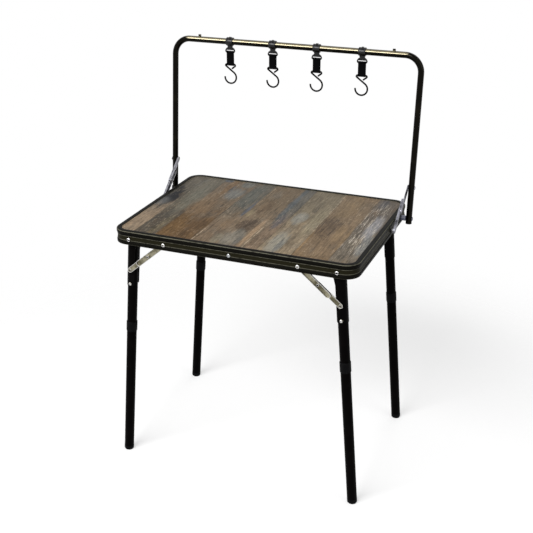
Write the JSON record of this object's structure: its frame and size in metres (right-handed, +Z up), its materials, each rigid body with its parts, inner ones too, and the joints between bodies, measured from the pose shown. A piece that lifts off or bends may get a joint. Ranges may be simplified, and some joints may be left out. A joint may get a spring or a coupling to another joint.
{
  "type": "folding side table",
  "caption": "Folding camp side table with a plank-pattern top in a dark ribbed rail, splayed tube legs on folding stays, and a tube rack with webbing strap hooks.",
  "frame": {"origin": "on the floor, under the middle of the overall bounding box, which is the middle of the table", "axes": "+Z up, +X to the right of someone facing the front rail, +Y from the front rail to the rack"},
  "size_m": [0.6592, 0.4418, 1.0078],
  "materials": {
    "dark_rail": "dark anodised, satin",
    "plank_print": "printed reclaimed planks under a matte film",
    "grey_metal": "plain extruded",
    "black_metal": "black satin powder coat",
    "rack_enamel": "dark glossy enamel",
    "black_plastic": "moulded, matte",
    "zinc": "zinc plated",
    "blue_grey_metal": "blue-grey plated",
    "webbing": "woven black webbing",
    "hook_wire": "black coated wire"
  },
  "bodies": {
    "table": {"rail_frame": "dark_rail", "top_board": "plank_print", "centre_brace": "grey_metal", "leg_pivot_rivet_front_left": "zinc", "leg_pivot_rivet_front_right": "zinc", "leg_pivot_rivet_back_left": "zinc", "leg_pivot_rivet_back_right": "zinc", "rack_pivot_bolt_left": "blue_grey_metal", "rack_pivot_bolt_right": "blue_grey_metal"},
    "leg_front_left": {"leg_bracket_front_left": "black_metal", "upper_leg_tube_front_left": "black_metal", "leg_screw_front_left": "zinc"},
    "lower_leg_front_left": {"leg_coupler_front_left": "black_plastic", "lower_leg_tube_front_left": "black_metal", "foot_cap_front_left": "black_plastic"},
    "leg_channel_front_left": {"stay_channel_front_left": "zinc"},
    "leg_link_front_left": {"stay_link_front_left": "zinc"},
    "leg_front_right": {"leg_bracket_front_right": "black_metal", "upper_leg_tube_front_right": "black_metal", "leg_screw_front_right": "zinc"},
    "lower_leg_front_right": {"leg_coupler_front_right": "black_plastic", "lower_leg_tube_front_right": "black_metal", "foot_cap_front_right": "black_plastic"},
    "leg_channel_front_right": {"stay_channel_front_right": "zinc"},
    "leg_link_front_right": {"stay_link_front_right": "zinc"},
    "leg_back_left": {"leg_bracket_back_left": "black_metal", "upper_leg_tube_back_left": "black_metal", "leg_screw_back_left": "zinc"},
    "lower_leg_back_left": {"leg_coupler_back_left": "black_plastic", "lower_leg_tube_back_left": "black_metal", "foot_cap_back_left": "black_plastic"},
    "leg_channel_back_left": {"stay_channel_back_left": "zinc"},
    "leg_link_back_left": {"stay_link_back_left": "zinc"},
    "leg_back_right": {"leg_bracket_back_right": "black_metal", "upper_leg_tube_back_right": "black_metal", "leg_screw_back_right": "zinc"},
    "lower_leg_back_right": {"leg_coupler_back_right": "black_plastic", "lower_leg_tube_back_right": "black_metal", "foot_cap_back_right": "black_plastic"},
    "leg_channel_back_right": {"stay_channel_back_right": "zinc"},
    "leg_link_back_right": {"stay_link_back_right": "zinc"},
    "rack": {"rack_tube": "rack_enamel", "rack_end_plug_left": "black_plastic", "rack_end_plug_right": "black_plastic"},
    "rack_channel_left": {"rack_stay_channel_left": "zinc"},
    "rack_link_left": {"rack_stay_link_left": "zinc"},
    "rack_channel_right": {"rack_stay_channel_right": "zinc"},
    "rack_link_right": {"rack_stay_link_right": "zinc"},
    "clip_1": {"hanger_clip_1": "black_plastic"},
    "strap_1": {"hanger_strap_1": "webbing"},
    "hook_1": {"hanger_hook_1": "hook_wire"},
    "clip_2": {"hanger_clip_2": "black_plastic"},
    "strap_2": {"hanger_strap_2": "webbing"},
    "hook_2": {"hanger_hook_2": "hook_wire"},
    "clip_3": {"hanger_clip_3": "black_plastic"},
    "strap_3": {"hanger_strap_3": "webbing"},
    "hook_3": {"hanger_hook_3": "hook_wire"},
    "clip_4": {"hanger_clip_4": "black_plastic"},
    "strap_4": {"hanger_strap_4": "webbing"},
    "hook_4": {"hanger_hook_4": "hook_wire"}
  },
  "joints": [
    {"name": "leg_fold_front_left", "type": "hinge", "parent": "table", "child": "leg_front_left", "pos_m": [-0.2554, -0.19283, 0.603], "axis": [0, 1, 0], "range_deg": [-60, 0]},
    {"name": "lower_leg_pull_front_left", "type": "slide", "parent": "leg_front_left", "child": "lower_leg_front_left", "axis": [-0.0819, -0.0139, -0.9965], "range_m": [0, 0.062]},
    {"name": "leg_channel_turn_front_left", "type": "hinge", "parent": "table", "child": "leg_channel_front_left", "pos_m": [-0.1649, -0.19283, 0.603], "axis": [0, 1, 0], "range_deg": [-98.14, 0]},
    {"name": "leg_link_turn_front_left", "type": "hinge", "parent": "leg_front_left", "child": "leg_link_front_left", "pos_m": [-0.26217, -0.19283, 0.52069], "axis": [0, 1, 0], "range_deg": [0, 94.03]},
    {"name": "leg_fold_front_right", "type": "hinge", "parent": "table", "child": "leg_front_right", "pos_m": [0.2554, -0.19283, 0.603], "axis": [0, 1, 0], "range_deg": [0, 60]},
    {"name": "lower_leg_pull_front_right", "type": "slide", "parent": "leg_front_right", "child": "lower_leg_front_right", "axis": [-0.0819, 0.0139, 0.9965], "range_m": [-0.062, 0]},
    {"name": "leg_channel_turn_front_right", "type": "hinge", "parent": "table", "child": "leg_channel_front_right", "pos_m": [0.1649, -0.19283, 0.603], "axis": [0, 1, 0], "range_deg": [0, 98.14]},
    {"name": "leg_link_turn_front_right", "type": "hinge", "parent": "leg_front_right", "child": "leg_link_front_right", "pos_m": [0.26217, -0.19283, 0.52069], "axis": [0, 1, 0], "range_deg": [-94.03, 0]},
    {"name": "leg_fold_back_left", "type": "hinge", "parent": "table", "child": "leg_back_left", "pos_m": [-0.2554, 0.19283, 0.603], "axis": [0, 1, 0], "range_deg": [-60, 0]},
    {"name": "lower_leg_pull_back_left", "type": "slide", "parent": "leg_back_left", "child": "lower_leg_back_left", "axis": [-0.0819, 0.0139, -0.9965], "range_m": [0, 0.062]},
    {"name": "leg_channel_turn_back_left", "type": "hinge", "parent": "table", "child": "leg_channel_back_left", "pos_m": [-0.1649, 0.19283, 0.603], "axis": [0, 1, 0], "range_deg": [-98.14, 0]},
    {"name": "leg_link_turn_back_left", "type": "hinge", "parent": "leg_back_left", "child": "leg_link_back_left", "pos_m": [-0.26217, 0.19283, 0.52069], "axis": [0, 1, 0], "range_deg": [0, 94.03]},
    {"name": "leg_fold_back_right", "type": "hinge", "parent": "table", "child": "leg_back_right", "pos_m": [0.2554, 0.19283, 0.603], "axis": [0, 1, 0], "range_deg": [0, 60]},
    {"name": "lower_leg_pull_back_right", "type": "slide", "parent": "leg_back_right", "child": "lower_leg_back_right", "axis": [-0.0819, -0.0139, 0.9965], "range_m": [-0.062, 0]},
    {"name": "leg_channel_turn_back_right", "type": "hinge", "parent": "table", "child": "leg_channel_back_right", "pos_m": [0.1649, 0.19283, 0.603], "axis": [0, 1, 0], "range_deg": [0, 98.14]},
    {"name": "leg_link_turn_back_right", "type": "hinge", "parent": "leg_back_right", "child": "leg_link_back_right", "pos_m": [0.26217, 0.19283, 0.52069], "axis": [0, 1, 0], "range_deg": [-94.03, 0]},
    {"name": "rack_fold", "type": "hinge", "parent": "table", "child": "rack", "pos_m": [0, 0.15, 0.605], "axis": [1, 0, 0], "range_deg": [0, 95.5]},
    {"name": "rack_channel_turn_left", "type": "hinge", "parent": "table", "child": "rack_channel_left", "pos_m": [-0.3122, 0.0595, 0.605], "axis": [1, 0, 0], "range_deg": [0, 141.67]},
    {"name": "rack_link_turn_left", "type": "hinge", "parent": "rack", "child": "rack_link_left", "pos_m": [-0.3122, 0.15746, 0.68244], "axis": [1, 0, 0], "range_deg": [-133.83, 0]},
    {"name": "rack_channel_turn_right", "type": "hinge", "parent": "table", "child": "rack_channel_right", "pos_m": [0.3122, 0.0595, 0.605], "axis": [1, 0, 0], "range_deg": [0, 141.67]},
    {"name": "rack_link_turn_right", "type": "hinge", "parent": "rack", "child": "rack_link_right", "pos_m": [0.3122, 0.15746, 0.68244], "axis": [1, 0, 0], "range_deg": [-133.83, 0]},
    {"name": "clip_turn_1", "type": "hinge", "parent": "rack", "child": "clip_1", "pos_m": [-0.1685, 0.18755, 0.995], "axis": [1, 0, 0], "range_deg": [-95.5, 0]},
    {"name": "strap_swing_1", "type": "hinge", "parent": "clip_1", "child": "strap_1", "pos_m": [-0.1685, 0.18755, 0.9693], "axis": [-1, 0, 0], "range_deg": [-35, 35]},
    {"name": "hook_swing_1", "type": "hinge", "parent": "strap_1", "child": "hook_1", "pos_m": [-0.1685, 0.18755, 0.9383], "axis": [-1, 0, 0], "range_deg": [-40, 40]},
    {"name": "clip_turn_2", "type": "hinge", "parent": "rack", "child": "clip_2", "pos_m": [-0.0539, 0.18755, 0.995], "axis": [1, 0, 0], "range_deg": [-95.5, 0]},
    {"name": "strap_swing_2", "type": "hinge", "parent": "clip_2", "child": "strap_2", "pos_m": [-0.0539, 0.18755, 0.9693], "axis": [-1, 0, 0], "range_deg": [-35, 35]},
    {"name": "hook_swing_2", "type": "hinge", "parent": "strap_2", "child": "hook_2", "pos_m": [-0.0539, 0.18755, 0.9383], "axis": [-1, 0, 0], "range_deg": [-40, 40]},
    {"name": "clip_turn_3", "type": "hinge", "parent": "rack", "child": "clip_3", "pos_m": [0.0607, 0.18755, 0.995], "axis": [1, 0, 0], "range_deg": [-95.5, 0]},
    {"name": "strap_swing_3", "type": "hinge", "parent": "clip_3", "child": "strap_3", "pos_m": [0.0607, 0.18755, 0.9693], "axis": [-1, 0, 0], "range_deg": [-35, 35]},
    {"name": "hook_swing_3", "type": "hinge", "parent": "strap_3", "child": "hook_3", "pos_m": [0.0607, 0.18755, 0.9383], "axis": [-1, 0, 0], "range_deg": [-40, 40]},
    {"name": "clip_turn_4", "type": "hinge", "parent": "rack", "child": "clip_4", "pos_m": [0.1753, 0.18755, 0.995], "axis": [1, 0, 0], "range_deg": [-95.5, 0]},
    {"name": "strap_swing_4", "type": "hinge", "parent": "clip_4", "child": "strap_4", "pos_m": [0.1753, 0.18755, 0.9693], "axis": [-1, 0, 0], "range_deg": [-35, 35]},
    {"name": "hook_swing_4", "type": "hinge", "parent": "strap_4", "child": "hook_4", "pos_m": [0.1753, 0.18755, 0.9383], "axis": [-1, 0, 0], "range_deg": [-40, 40]}
  ],
  "couplings": [
    {"joint": "leg_channel_turn_front_left", "follows": "leg_fold_front_left", "ratio": 1.6356},
    {"joint": "leg_link_turn_front_left", "follows": "leg_fold_front_left", "ratio": -1.5671},
    {"joint": "leg_channel_turn_front_right", "follows": "leg_fold_front_right", "ratio": 1.6356},
    {"joint": "leg_link_turn_front_right", "follows": "leg_fold_front_right", "ratio": -1.5671},
    {"joint": "leg_channel_turn_back_left", "follows": "leg_fold_back_left", "ratio": 1.6356},
    {"joint": "leg_link_turn_back_left", "follows": "leg_fold_back_left", "ratio": -1.5671},
    {"joint": "leg_channel_turn_back_right", "follows": "leg_fold_back_right", "ratio": 1.6356},
    {"joint": "leg_link_turn_back_right", "follows": "leg_fold_back_right", "ratio": -1.5671},
    {"joint": "rack_channel_turn_left", "follows": "rack_fold", "ratio": 1.4835},
    {"joint": "rack_link_turn_left", "follows": "rack_fold", "ratio": -1.4014},
    {"joint": "rack_channel_turn_right", "follows": "rack_fold", "ratio": 1.4835},
    {"joint": "rack_link_turn_right", "follows": "rack_fold", "ratio": -1.4014},
    {"joint": "clip_turn_1", "follows": "rack_fold", "ratio": -1},
    {"joint": "clip_turn_2", "follows": "rack_fold", "ratio": -1},
    {"joint": "clip_turn_3", "follows": "rack_fold", "ratio": -1},
    {"joint": "clip_turn_4", "follows": "rack_fold", "ratio": -1}
  ]
}
